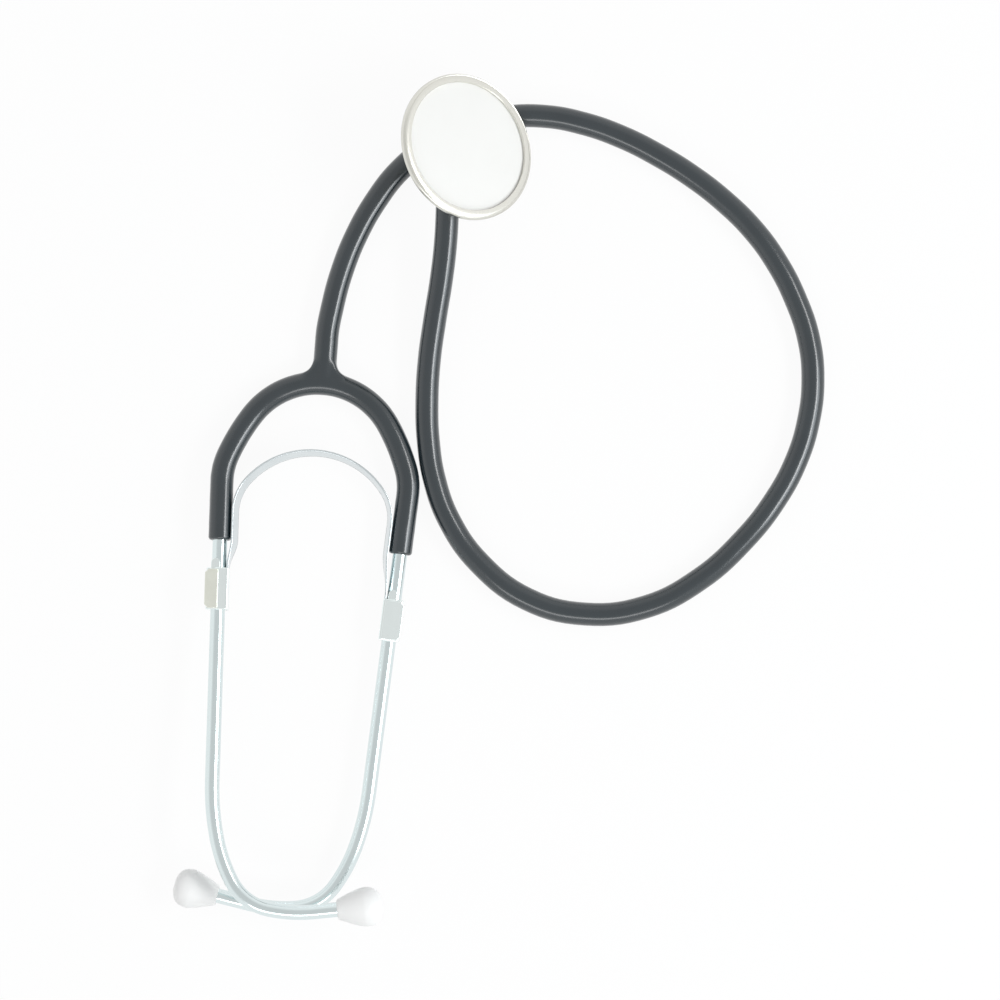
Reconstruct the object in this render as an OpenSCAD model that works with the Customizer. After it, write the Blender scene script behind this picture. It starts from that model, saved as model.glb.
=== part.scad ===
// Toy stethoscope with one listening head, lying on a table with its head face up.
// Millimetres. +Z is up and the table is z = 0. The binaural's middle line runs along Y, and the
// origin is on the table, under the middle of the object's box with the hose left out.

/* [Rubber tubing] */
// Outside diameter of the hose, the yoke and its arms
hose_od = 7.2; // [6.4:0.1:8]
// Bore of the hose and the yoke
hose_bore = 4.1; // [3:0.1:4.4]

/* [Yoke] */
// Radius of the top of the yoke's arch, at the middle of the tubing
yoke_r = 25; // [24:0.2:27]
// Angle that the top of the arch takes on each side
yoke_angle = 57; // [52:1:60]
// Radius of the arch's flanks
flank_r = 64; // [54:1:70]
// Angle that a flank takes
flank_angle = 13.2; // [12:0.1:15]
// Radius of the elbow where the arm meets the end of the ear tube
elbow_r = 20; // [16:0.5:22]
// Angle at which the arms' ends and the ear tubes lean in
arm_lean = 3; // [1:0.5:5]
// Length of an arm's straight end, which grips the ear tube
socket_len = 18.4; // [14:0.1:22]
// Length of the junction's stem, from the middle of the arch
stem_len = 14; // [12:0.5:18]
// Half of the arch's angle that belongs to the junction
junction_angle = 20; // [18:1:28]
// Radius of the fillet between the stem and the arch
junction_fillet = 4.2; // [2:0.1:5]
// Thickness of the web that fills the fillet
web_t = 3.6; // [2.6:0.1:5]

/* [Ear tubes] */
// Outside diameter of the metal ear tubes
ear_tube_od = 4.5; // [4.2:0.1:4.8]
// Bore of the metal ear tubes
ear_tube_bore = 3.3; // [2.4:0.1:3.6]
// Length of an ear tube from its upper end to its first bend
ear_tube_straight = 92; // [86:0.1:98]
// Radius of the first, widest bend
upper_bend_r = 80; // [60:1:100]
// Angle of the first bend
upper_bend_angle = 13; // [8:1:18]
// Radius of the second bend
middle_bend_r = 48; // [36:1:60]
// Angle of the second bend
middle_bend_angle = 16; // [12:1:20]
// Radius of the tight bend that turns the tube inwards
lower_bend_r = 16.5; // [14:0.5:20]
// Angle of the tight bend
lower_bend_angle = 50; // [44:1:54]
// Radius of the last bend
end_bend_r = 45; // [36:1:55]
// Angle of the last bend
end_bend_angle = 18; // [10:1:20]
// Straight stretch after the last bend
ear_tube_end = 16; // [14:0.5:20]

/* [Leaf spring] */
// Width of the spring's steel strip
strip_w = 6; // [4.5:0.1:6.6]
// Thickness of the strip
strip_t = 0.6; // [0.5:0.05:0.9]
// Angle at which the strip's upper edge leans out between its clips
strip_cant = 13; // [8:1:20]
// Radius of the spring's crown
crown_r = 26; // [25:0.5:29]
// Radius of the spring's shoulders
shoulder_r = 15; // [13.5:0.5:15.5]
// Drop of the shoulders' centres below the ear tubes' upper ends
shoulder_drop = 8.6; // [7:0.1:10]
// Gap between the strip and the arm that it passes
strip_arm_gap = 0.4; // [0.3:0.05:0.6]

/* [Spring clips] */
// Length of a clip along its ear tube
clip_len = 13; // [9:0.5:16]
// Thickness of a clip's sheet metal
clip_wall = 0.45; // [0.4:0.05:0.8]
// Reach of the left clip's fold beyond the outer side of its tube
left_fold_reach = 1.5; // [0.8:0.1:2]
// Reach of the right clip's fold beyond the outer side of its tube
right_fold_reach = 0.8; // [0.6:0.1:2]
// Height of a clip's fold
fold_h = 4.2; // [2:0.1:4.6]
// Bare ear tube between the left arm and its clip
left_clip_gap = 8.6; // [6:0.2:16]
// Bare ear tube between the right arm and its clip
right_clip_gap = 14; // [6:0.2:16]

/* [Ear tips] */
// Length of an ear tip
tip_len = 13.8; // [12:0.1:16]
// Largest diameter of an ear tip's bulb
tip_od = 12; // [10:0.1:13]
// Diameter of an ear tip's neck
tip_neck_od = 6; // [5.8:0.1:7]
// Depth to which the left ear tip is pushed on its tube
left_tip_grip = 6; // [5:0.1:9]
// Depth to which the right ear tip is pushed on its tube
right_tip_grip = 8.9; // [5:0.1:9]
// Diameter of the sound hole in an ear tip
tip_hole_d = 2.8; // [2:0.1:3.2]

/* [Chestpiece] */
// Outside diameter of the ring round the diaphragm
ring_od = 45.4; // [44:0.2:47]
// Width of the ring's front, from its outside to the diaphragm that shows
ring_lip_w = 2.7; // [2.4:0.1:3.6]
// Height of the ring
ring_h = 3; // [2.8:0.1:3.4]
// Depth of the ring's rounded front edge
ring_round = 0.9; // [0.6:0.1:1]
// Width of the ring's outermost band
ring_band = 0.9; // [0.6:0.1:1.2]
// Amount by which the ring tapers in behind its band
ring_taper = 0.9; // [0.6:0.1:1.1]
// Thickness of the ring's wall at its back
ring_wall = 0.8; // [0.6:0.1:1]
// Thickness of the ring's lip over the diaphragm
ring_lip_t = 0.9; // [0.7:0.1:1.1]
// Thickness of the diaphragm
diaphragm_t = 0.5; // [0.3:0.05:0.8]
// Height of the diaphragm's slight dome
diaphragm_crown = 0.35; // [0.1:0.05:0.6]
// Depth of the shallow bowl behind the diaphragm
bowl_depth = 2.4; // [1.5:0.1:3]
// Thickness of the flange behind the ring
flange_t = 1.2; // [1:0.1:1.6]
// Depth of the head from its face to the foot of the boss
head_depth = 9; // [8:0.1:11]
// Diameter of the boss on the head's back
boss_d = 13; // [12:0.2:15]
// Depth of the boss behind the head
boss_h = 5; // [4.4:0.1:7]
// Diameter of the passage from the bowl to the stem
head_hole_d = 3; // [2:0.1:3.4]

/* [Chestpiece stem] */
// Diameter of the stem's shank
shank_d = 5; // [4.6:0.1:5.4]
// Distance from the boss's axis to the end of the hose
hose_stop = 10; // [9:0.1:13]
// Diameter of the collar that stops the hose
collar_d = 6.6; // [6:0.1:7]
// Thickness of the collar
collar_t = 1.6; // [1:0.1:2]
// Length of the spigot inside the hose
spigot_len = 16; // [12:0.5:20]
// Bore of the stem
stem_bore = 2.6; // [2:0.1:3]

/* [Lie of the object] */
// Tilt of the chestpiece's face from level
head_tilt = 33; // [30:0.5:35]
// Heading towards which the face leans, from +X
head_heading = 21; // [16:1:26]
// Height of the face's centre above the table
head_z = 22.4; // [22.3:0.1:26]
// Angle of the stem round the head, from the low side of the face
stem_azimuth = 257; // [252:0.5:262]
// Angle at which the stem leans back from the face
stem_lean = 15.5; // [13:0.5:18]
// Gap by which one ear tip passes over the other
tip_pass_gap = 0.6; // [0.4:0.1:2]

/* [Hidden] */
$fn = 64;

// Fits and cuts
// Radial clearance between pieces that slide or turn on each other
running_fit = 0.05;
// Radial clearance between pieces that are pressed together
press_fit = 0.02;
// Gap round the strip in its clip, and at the blind end of a socket
seat_gap = 0.15;
// Reach of a cut past the face that it opens
overrun = 1;
// Amount by which a bend's wall is drawn thinner on each side
bend_draw = 0.01;
// Overlap of a straight stretch with the bends beside it
bend_lap = 0.4;
// Step between the junction's stem and its arch
mould_step = 0.05;

// Radii of the round pieces
hose_r = hose_od / 2;
ear_tube_r = ear_tube_od / 2;
tip_r = tip_od / 2;
ring_r = ring_od / 2;

// Places on the table: the top of the yoke's arch, and the chestpiece from there
yoke_top = [-12.3, 33.9, hose_r];
head_from_yoke = [39.5, 74.6];
head_centre = [yoke_top.x + head_from_yoke.x, yoke_top.y + head_from_yoke.y, head_z];

// An ear tube's run: [straight length, radius of the bend after it, angle of that bend]
ear_tube_run = [
    [ear_tube_straight, upper_bend_r, upper_bend_angle],
    [0, middle_bend_r, middle_bend_angle],
    [0, lower_bend_r, lower_bend_angle],
    [0, end_bend_r, end_bend_angle],
    [ear_tube_end, 0, 0]
];

// The yoke's run on one side, from the top of its arch to the start of the socket
elbow_angle = 90 + arm_lean - yoke_angle - flank_angle;
yoke_run = [[0, yoke_r, yoke_angle], [0, flank_r, flank_angle], [0, elbow_r, elbow_angle]];

// How far a run goes down and out from its start. Its heading is measured from -Y, inwards
function run_depth(run, heading, i = 0) =
    i == len(run) ? 0
    : run[i][0] * cos(heading)
        + run[i][1] * (sin(heading + run[i][2]) - sin(heading))
        + run_depth(run, heading + run[i][2], i + 1);
function run_out(run, heading, i = 0) =
    i == len(run) ? 0
    : -run[i][0] * sin(heading)
        + run[i][1] * (cos(heading + run[i][2]) - cos(heading))
        + run_out(run, heading + run[i][2], i + 1);

// Pitch of each half, so that the right tube's tip lies on the table and the left tube's tip
// passes over it
socket_start = [run_out(yoke_run, -90), -run_depth(yoke_run, -90)];
tip_depth = run_depth(ear_tube_run, arm_lean) - socket_start.y;
right_pitch = asin((tip_r - hose_r) / tip_depth);
left_pitch = asin((3 * tip_r + tip_pass_gap - hose_r) / tip_depth);
function pitch(side) = side < 0 ? left_pitch : right_pitch;

// Offsets of the strip's middle from the ear tube's axis, in the clip and beside the arm
clip_offset = ear_tube_r + strip_t / 2 + seat_gap;
arm_offset = (hose_r + strip_t / 2 + strip_arm_gap) / cos(strip_cant);

// Distances along an ear tube's line, from the start of the socket
function clip_start(side) = socket_len + (side < 0 ? left_clip_gap : right_clip_gap);

// The shoulders' centre and the angle that the crown takes from each side of the top
shoulder_x = socket_start.x - (shoulder_r + arm_offset + shoulder_drop * sin(arm_lean)) / cos(arm_lean);
shoulder_centre = [shoulder_x, socket_start.y - shoulder_drop];
crown_angle = asin(shoulder_x / (crown_r - shoulder_r));
crown_centre_y = shoulder_centre.y - (crown_r - shoulder_r) * cos(crown_angle);
shoulder_steps = 9;
crown_steps = 5;
leg_steps = 8;

// Smooth step from 0 to 1
function ease(t) = let (c = max(0, min(1, t))) c * c * (3 - 2 * c);

// A station of the strip: its middle, the direction that its outer face looks, and its cant
function arc_station(centre, r, angle) = let (out = [cos(angle), sin(angle)]) [centre + r * out, out, strip_cant];

// Middle of the strip beside the ear tube: it leaves its clip and swings in to pass the arm
function leg_station(along, side) = let (
    out = [cos(arm_lean), -sin(arm_lean)],
    down = [-sin(arm_lean), -cos(arm_lean)],
    swing = ease((clip_start(side) - along) / (clip_start(side) - socket_len)),
    offset = clip_offset + (arm_offset - clip_offset) * swing
) [socket_start + along * down - offset * out, out, strip_cant * swing];

// Stations of the right half of the spring, from the clip's lower end up to the crown
leg_top = shoulder_drop * cos(arm_lean) + (socket_start.x - shoulder_x) * sin(arm_lean);
function half_spring(side) = let (
    leg_end = clip_start(side) + clip_len,
    leg_middle = clip_start(side)
) concat(
    [leg_station(leg_end, side)],
    [for (i = [0 : leg_steps]) leg_station(leg_middle + (leg_top - leg_middle) * i / leg_steps, side)],
    [for (i = [1 : shoulder_steps])
        arc_station(shoulder_centre, shoulder_r,
            -arm_lean + (90 - crown_angle + arm_lean) * i / shoulder_steps)],
    [for (i = [1 : crown_steps])
        arc_station([0, crown_centre_y], crown_r, 90 - crown_angle + crown_angle * i / crown_steps)]
);

// The whole strip from the left clip to the right one; both halves end at the crown
function mirrored(station) = [[-station[0].x, station[0].y], [-station[1].x, station[1].y], station[2]];
left_half = half_spring(-1);
right_half = half_spring(1);
strip_stations = concat(
    [for (s = left_half) mirrored(s)],
    [for (i = [len(right_half) - 2 : -1 : 0]) right_half[i]]
);

// Pitch of the strip across the arch, from the left half's to the right half's
arch_reach_share = 0.95;
function strip_pitch(x) = let (reach = arch_reach_share * (shoulder_x + shoulder_r))
    left_pitch + (right_pitch - left_pitch) * ease((x + reach) / (2 * reach));
function pitched(p, angle) = [p.x, p.y * cos(angle) + p.z * sin(angle), -p.y * sin(angle) + p.z * cos(angle)];

// The four corners of the strip at a station
function strip_ring(station) = let (
    out = [station[1].x, station[1].y, 0],
    up = [0, 0, 1],
    face = out * cos(station[2]) - up * sin(station[2]),
    edge = up * cos(station[2]) + out * sin(station[2]),
    middle = [station[0].x, station[0].y, 0],
    angle = strip_pitch(station[0].x)
) [for (c = [[1, 1], [-1, 1], [-1, -1], [1, -1]])
    yoke_top + pitched(middle + c[0] * strip_t / 2 * face + c[1] * strip_w / 2 * edge, angle)];

// The stem's axis: a point at a distance from the boss's axis
boss_z = -(head_depth + boss_h / 2);
stem_dir_head = [
    cos(stem_lean) * cos(stem_azimuth), cos(stem_lean) * sin(stem_azimuth), -sin(stem_lean)
];
function tilted(p) = [p.x * cos(head_tilt) + p.z * sin(head_tilt), p.y,
    p.z * cos(head_tilt) - p.x * sin(head_tilt)];
function turned(p, a) = [p.x * cos(a) - p.y * sin(a), p.x * sin(a) + p.y * cos(a), p.z];
function from_head(p) = head_centre + turned(tilted(p), head_heading);
function on_stem(s) = from_head([0, 0, boss_z] + s * stem_dir_head);

// The hose's route on the table, from the yoke's stem to the stem of the chestpiece
hose_route = [
    [1, 24, 0], [3.1, 35, 0], [6.7, 46.5, 0], [12, 57.8, 0], [18.5, 67.5, 0], [27, 75.5, 0],
    [37.5, 82, 0], [49.5, 86.2, 0], [62, 87.5, 0], [74, 86.2, 0], [86, 83, 0], [97.5, 78.3, 0],
    [108.5, 72.6, 0], [119, 65.7, 0], [128.5, 57.7, 0], [136.5, 48.4, 0], [143.5, 37, 0],
    [148.5, 25, 0], [150.7, 12.6, 0], [150.3, 0, 0], [147.5, -12.5, 0], [141.9, -25.2, 0],
    [133.1, -38.3, 0], [120.5, -51.4, 0], [104.5, -61.2, 0], [86, -64.8, 0], [67.9, -61.6, 0],
    [52.3, -51.6, 0], [42.1, -39.3, 0], [36.5, -27, 0], [33.6, -14.8, 0.1], [32.3, -2.5, 0.4],
    [32.1, 9.8, 1.3], [32.9, 22.2, 3], [34, 34.7, 5]
];
hose_sides = 12;
hose_path = concat(
    [yoke_top + [0, stem_len, 0]],
    [for (p = hose_route) yoke_top + p],
    [on_stem(hose_stop + spigot_len), on_stem(hose_stop)]
);

// Rings of a tube swept along a path, square to the path at each point
function unit(v) = v / norm(v);
function heading_at(path, i) = i == 0 ? [0, 1, 0]
    : i == len(path) - 1 ? unit(path[i] - path[i - 1])
    : unit(unit(path[i + 1] - path[i]) + unit(path[i] - path[i - 1]));
function swept_ring(path, i, r, sides) = let (
    forward = heading_at(path, i),
    across = unit(cross(forward, [0, 0, 1])),
    upward = cross(across, forward)
) [for (k = [0 : sides - 1]) path[i] + r * (cos(360 * k / sides) * across + sin(360 * k / sides) * upward)];

// Triangles between ring a and ring b, whose points are numbered from a and b
function band(a, b, count, flip) = [for (k = [0 : count - 1]) let (n = (k + 1) % count)
    each flip
        ? [[a + k, a + n, b + n], [a + k, b + n, b + k]]
        : [[a + k, b + n, a + n], [a + k, b + k, b + n]]];

// A hollow tube along a path
module swept_tube(path, r, bore_r, sides) {
    rings = len(path);
    inner = rings * sides;
    points = concat(
        [for (i = [0 : rings - 1]) each swept_ring(path, i, r, sides)],
        [for (i = [0 : rings - 1]) each swept_ring(path, i, bore_r, sides)]
    );
    walls = [for (i = [0 : rings - 2]) each concat(
        band(i * sides, (i + 1) * sides, sides, false),
        band(inner + i * sides, inner + (i + 1) * sides, sides, true)
    )];
    last = (rings - 1) * sides;
    ends = concat(band(0, inner, sides, true), band(last, inner + last, sides, false));
    polyhedron(points = points, faces = concat(walls, ends));
}

// A solid strip through a list of four-cornered rings
module swept_strip(rings) {
    corners = 4;
    last = (len(rings) - 1) * corners;
    points = [for (ring = rings) each ring];
    walls = [for (i = [0 : len(rings) - 2]) each band(i * corners, (i + 1) * corners, corners, true)];
    ends = [[0, 2, 1], [0, 3, 2], [last, last + 1, last + 2], [last, last + 2, last + 3]];
    polyhedron(points = points, faces = concat(walls, ends));
}

// One half of the binaural: children are drawn for the right side, flat, from the yoke's top
module on_half(side) {
    translate(yoke_top) rotate([-pitch(side), 0, 0]) mirror([side < 0 ? 1 : 0, 0, 0]) children();
}

// Down an ear tube's line: +Z runs along the tube, +X points out and +Y up
module along_tube(distance) {
    translate([socket_start.x, socket_start.y, 0]) rotate([0, 0, -arm_lean]) rotate([90, 0, 0])
        translate([0, 0, distance]) children();
}

// Cross-section of a tube
module tube_section(r, bore_r) {
    difference() {
        circle(r = r);
        if (bore_r > 0) circle(r = bore_r);
    }
}

// The top of the yoke's arch, as far as an angle on each side
module arch_top(half_angle, r) {
    translate([0, -yoke_r, 0]) rotate([0, 0, 90 - half_angle]) rotate_extrude(angle = 2 * half_angle)
        translate([yoke_r, 0]) circle(r = r);
}

// A tube that bends towards -X after each straight stretch
module bent_tube(run, r, bore_r, i = 0) {
    start = i == 0 ? 0 : -bend_lap;
    end = run[i][0] + (i == len(run) - 1 ? 0 : bend_lap);
    translate([0, 0, start]) linear_extrude(height = end - start) tube_section(r, bore_r);
    if (i < len(run) - 1)
        translate([-run[i][1], 0, run[i][0]]) {
            rotate([90, 0, 0]) rotate_extrude(angle = run[i][2])
                translate([run[i][1], 0]) tube_section(r - bend_draw, bore_r + bend_draw);
            rotate([0, -run[i][2], 0]) translate([run[i][1], 0, 0]) bent_tube(run, r, bore_r, i + 1);
        }
}

// The frame at the end of a run
module at_run_end(run, i = 0) {
    if (i < len(run))
        translate([-run[i][1], 0, run[i][0]]) rotate([0, -run[i][2], 0]) translate([run[i][1], 0, 0])
            at_run_end(run, i + 1) children();
    else
        children();
}

// The head's frame: origin at the middle of the ring's front, +Z out of the face
module on_head() {
    translate(head_centre) rotate([0, head_tilt, head_heading]) children();
}

// Along the stem's axis, from the boss's axis outwards
module on_stem_axis() {
    translate([0, 0, boss_z]) rotate([0, 90 + stem_lean, stem_azimuth]) children();
}

// Rubber tubing
module hose() {
    color("#3a3d44") swept_tube(hose_path, hose_r, hose_bore / 2, hose_sides);
}

// Outline of the web in both fillets between the stem and the arch
module fillet_web() {
    reach = hose_r + junction_fillet;
    centre_y = sqrt(pow(yoke_r + reach - mould_step, 2) - pow(reach, 2)) - yoke_r;
    difference() {
        translate([-reach, 0]) square([2 * reach, centre_y]);
        for (side = [-1, 1]) translate([side * reach, centre_y]) circle(r = junction_fillet);
    }
}

// The stem is level, and the arch lies midway between the pitches of the two arms
module y_junction() {
    bore_r = hose_bore / 2;
    arch_pitch = (left_pitch + right_pitch) / 2;
    cut_angle = junction_angle + atan(overrun / yoke_r);
    color("#3a3d44") translate(yoke_top) difference() {
        union() {
            rotate([-90, 0, 0]) cylinder(h = stem_len, r = hose_r - mould_step);
            linear_extrude(height = web_t, center = true) fillet_web();
            rotate([-arch_pitch, 0, 0]) arch_top(junction_angle, hose_r);
        }
        rotate([-90, 0, 0]) cylinder(h = stem_len + overrun, r = bore_r - mould_step);
        rotate([-arch_pitch, 0, 0]) arch_top(cut_angle, bore_r);
    }
}

module arm(side) {
    arm_run = concat([[0, yoke_r, yoke_angle - junction_angle]],
        [for (i = [1 : len(yoke_run) - 1]) yoke_run[i]], [[0, 0, 0]]);
    color("#3a3d44") on_half(side) {
        translate([0, -yoke_r, 0]) rotate([0, 0, 90 - junction_angle]) translate([yoke_r, 0, 0])
            rotate([90, 0, 0]) bent_tube(arm_run, hose_r, hose_bore / 2);
        along_tube(-bend_lap) linear_extrude(height = socket_len + bend_lap)
            tube_section(hose_r, ear_tube_r + running_fit);
    }
}
module left_arm() { arm(-1); }
module right_arm() { arm(1); }

// Leaf spring and its clips
module leaf_spring() {
    color("#c9d0d0") swept_strip([for (s = strip_stations) strip_ring(s)]);
}

module strip_section(margin) {
    translate([-clip_offset, 0]) square([strip_t + 2 * margin, strip_w + 2 * margin], center = true);
}

module spring_clip(side) {
    fold_reach = side < 0 ? left_fold_reach : right_fold_reach;
    color("#c3cbca") on_half(side) along_tube(clip_start(side)) difference() {
        linear_extrude(height = clip_len) hull() {
            circle(r = ear_tube_r + press_fit + clip_wall);
            strip_section(seat_gap + clip_wall);
            translate([0, -fold_h / 2]) square([ear_tube_r + fold_reach, fold_h]);
        }
        translate([0, 0, -overrun]) {
            cylinder(h = clip_len + 2 * overrun, r = ear_tube_r + press_fit);
            linear_extrude(height = clip_len + 2 * overrun) strip_section(seat_gap);
        }
    }
}
module left_spring_clip() { spring_clip(-1); }
module right_spring_clip() { spring_clip(1); }

// Ear tubes and their tips
module ear_tube(side) {
    short_run = concat([[ear_tube_straight - seat_gap, upper_bend_r, upper_bend_angle]],
        [for (i = [1 : len(ear_tube_run) - 1]) ear_tube_run[i]]);
    color("#cfd6d6") on_half(side) along_tube(seat_gap)
        bent_tube(short_run, ear_tube_r, ear_tube_bore / 2);
}
module left_ear_tube() { ear_tube(-1); }
module right_ear_tube() { ear_tube(1); }

// Outline of an ear tip: a neck that swells to the bulb, and a blunt round end
tip_bulb_share = 0.62;
tip_swell_steps = 10;
tip_end_steps = 10;
tip_blunt = 2.5;
tip_flank = 1.3;
function tip_outline() = let (
    neck_r = tip_neck_od / 2,
    bulb_z = tip_len * tip_bulb_share
) concat(
    [[0, 0]],
    [for (i = [0 : tip_swell_steps]) let (t = i / tip_swell_steps)
        [neck_r + (tip_r - neck_r) * (1 - pow(1 - t, tip_flank)), bulb_z * t]],
    [for (i = [1 : tip_end_steps]) let (t = sin(90 * i / tip_end_steps))
        [tip_r * pow(max(0, 1 - pow(t, tip_blunt)), 1 / tip_blunt), bulb_z + (tip_len - bulb_z) * t]]
);

module ear_tip(side, grip) {
    tip_socket = max(left_tip_grip, right_tip_grip) + seat_gap;
    color("#f2f1ec") on_half(side) along_tube(0) at_run_end(ear_tube_run)
        translate([0, 0, -grip]) difference() {
            rotate_extrude() polygon(tip_outline());
            translate([0, 0, -overrun]) cylinder(h = tip_socket + overrun, r = ear_tube_r + running_fit);
            cylinder(h = tip_len + overrun, r = tip_hole_d / 2);
        }
}
// Each ear tip is named for the side on which it lies, so each is on the other side's tube
module left_ear_tip() { ear_tip(1, left_tip_grip); }
module right_ear_tip() { ear_tip(-1, right_tip_grip); }

// Chestpiece: values shared by its pieces
ring_back_r = ring_r - ring_taper;
ring_inner_r = ring_back_r - ring_wall;
body_r = ring_inner_r - running_fit;
diaphragm_back = -(ring_lip_t + seat_gap + diaphragm_t);
seat_w_share = 0.1;
bowl_r = body_r * (1 - seat_w_share);
window_r = ring_r - ring_lip_w;

module chestpiece_body() {
    flange_front = -ring_h - seat_gap;
    flange_back = flange_front - flange_t;
    color("#cfcfc8") on_head() difference() {
        union() {
            rotate_extrude() polygon([
                [0, -head_depth], [0, diaphragm_back - bowl_depth], [head_hole_d, diaphragm_back - bowl_depth],
                [bowl_r, diaphragm_back], [body_r, diaphragm_back], [body_r, flange_front],
                [ring_back_r, flange_front], [body_r, flange_back], [boss_d / 2, -head_depth]
            ]);
            translate([0, 0, -head_depth - boss_h]) cylinder(h = boss_h, d = boss_d);
        }
        translate([0, 0, boss_z]) cylinder(h = -boss_z, d = head_hole_d);
        on_stem_axis() cylinder(h = boss_d + overrun, d = shank_d + 2 * press_fit);
    }
}

module chestpiece_stem() {
    color("#c8ccca") on_head() on_stem_axis() difference() {
        rotate_extrude() polygon([
            [0, head_hole_d / 2], [shank_d / 2, head_hole_d / 2], [shank_d / 2, hose_stop - collar_t],
            [collar_d / 2, hose_stop - collar_t], [collar_d / 2, hose_stop], [hose_bore / 2, hose_stop],
            [hose_bore / 2, hose_stop + spigot_len], [0, hose_stop + spigot_len]
        ]);
        cylinder(h = hose_stop + spigot_len + overrun, d = stem_bore);
    }
}

// The diaphragm's front and back follow the same shallow dome
dome_steps = 8;
function dome(r, base) = [for (i = [0 : dome_steps]) let (t = i / dome_steps)
    [r * t, base + diaphragm_crown * (1 - t * t)]];
module diaphragm() {
    disc_r = body_r - seat_gap;
    front = dome(window_r - seat_gap, diaphragm_back + diaphragm_t);
    back = dome(bowl_r, diaphragm_back);
    color("#fbfbf8") on_head() rotate_extrude() polygon(concat(
        front, [[disc_r, diaphragm_back + diaphragm_t], [disc_r, diaphragm_back]],
        [for (i = [dome_steps : -1 : 0]) back[i]]
    ));
}

// The ring's front is a flat lip that rounds over to the band, and the back tapers in
round_steps = 6;
flat_share = 0.25;
module diaphragm_ring() {
    flat_r = window_r + flat_share * (ring_r - window_r);
    color("#d8d7cc") on_head() rotate_extrude() polygon(concat(
        [[ring_inner_r, -ring_h], [ring_back_r, -ring_h], [ring_r, -ring_round - ring_band]],
        [for (i = [0 : round_steps]) let (a = 90 * i / round_steps)
            [flat_r + (ring_r - flat_r) * cos(a), -ring_round + ring_round * sin(a)]],
        [[window_r, 0], [window_r, -ring_lip_t], [ring_inner_r, -ring_lip_t]]
    ));
}

hose();
y_junction();
left_arm();
right_arm();
leaf_spring();
left_spring_clip();
right_spring_clip();
left_ear_tube();
right_ear_tube();
left_ear_tip();
right_ear_tip();
chestpiece_body();
chestpiece_stem();
diaphragm();
diaphragm_ring();
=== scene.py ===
"""Toy stethoscope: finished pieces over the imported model, in metres, in the model's own frame.

Sizes in the classes are in millimetres, as in the part's source, and become metres where a piece is placed.
"""

import logging
import math
from dataclasses import dataclass
from enum import Enum

import bpy
from mathutils import Matrix, Vector

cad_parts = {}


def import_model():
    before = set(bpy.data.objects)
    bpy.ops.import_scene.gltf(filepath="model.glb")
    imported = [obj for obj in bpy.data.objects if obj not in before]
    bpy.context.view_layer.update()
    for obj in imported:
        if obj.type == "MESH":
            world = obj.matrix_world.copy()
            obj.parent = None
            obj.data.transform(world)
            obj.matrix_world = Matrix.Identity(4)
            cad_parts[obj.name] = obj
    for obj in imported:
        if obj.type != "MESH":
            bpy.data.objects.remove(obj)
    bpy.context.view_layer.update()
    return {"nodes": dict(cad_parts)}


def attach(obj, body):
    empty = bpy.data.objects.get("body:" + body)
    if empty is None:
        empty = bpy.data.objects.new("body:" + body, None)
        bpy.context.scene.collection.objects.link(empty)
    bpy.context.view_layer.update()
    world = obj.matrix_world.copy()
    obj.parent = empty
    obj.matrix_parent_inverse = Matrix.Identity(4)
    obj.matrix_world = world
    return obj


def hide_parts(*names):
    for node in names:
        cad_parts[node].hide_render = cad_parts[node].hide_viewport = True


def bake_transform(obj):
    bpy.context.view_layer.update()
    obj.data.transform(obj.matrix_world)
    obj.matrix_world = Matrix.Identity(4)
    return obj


LOG = logging.getLogger("stethoscope")
MM = 0.001
WELD = 1e-6
GRID_DIGITS = 6
CURVE_STEPS = 7
Flat = tuple[float, float]
Place = tuple[float, float, float]
Colour = tuple[float, float, float]
Station = tuple[Flat, Flat, float]


class Side(Enum):
    """A half of the binaural, with the sign of its X."""

    LEFT = -1
    RIGHT = 1

    @property
    def word(self) -> str:
        """The side's name as it stands in node and body names."""
        return self.name.lower()


def ease(value: float) -> float:
    """Smooth step from 0 to 1."""
    clipped = max(0.0, min(1.0, value))
    return clipped * clipped * (3.0 - 2.0 * clipped)


def deselect() -> None:
    """Leave edit mode and deselect every object."""
    if bpy.context.object is not None and bpy.context.object.mode != "OBJECT":
        bpy.ops.object.mode_set(mode="OBJECT")
    bpy.ops.object.select_all(action="DESELECT")


def make_active(piece: bpy.types.Object) -> None:
    """Select one object alone and make it the active one."""
    deselect()
    piece.select_set(True)
    bpy.context.view_layer.objects.active = piece


def apply_modifier(piece: bpy.types.Object, kind: str, **settings: object) -> None:
    """Add a modifier, set it and apply it.

    Args:
        piece: The object to change.
        kind: Blender's name of the modifier type.
        settings: Values for the modifier's properties.
    """
    make_active(piece)
    modifier = piece.modifiers.new(kind.lower(), kind)
    for name, value in settings.items():
        setattr(modifier, name, value)
    bpy.ops.object.modifier_apply(modifier=modifier.name)


def smooth_by_angle(piece: bpy.types.Object, degrees: float = 35.0) -> None:
    """Shade a piece smooth, with edges sharper than an angle left crisp."""
    make_active(piece)
    bpy.ops.object.shade_smooth_by_angle(angle=math.radians(degrees))


def settle(piece: bpy.types.Object, place: Matrix) -> None:
    """Put a piece made at the origin in its place, with the place in its mesh."""
    make_active(piece)
    piece.matrix_world = place
    bpy.ops.object.transform_apply(location=True, rotation=True, scale=True)


def clean(piece: bpy.types.Object) -> None:
    """Merge doubled points and turn every face outwards."""
    make_active(piece)
    bpy.ops.object.mode_set(mode="EDIT")
    bpy.ops.mesh.select_all(action="SELECT")
    bpy.ops.mesh.remove_doubles(threshold=WELD)
    bpy.ops.mesh.normals_make_consistent(inside=False)
    bpy.ops.object.mode_set(mode="OBJECT")


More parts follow.
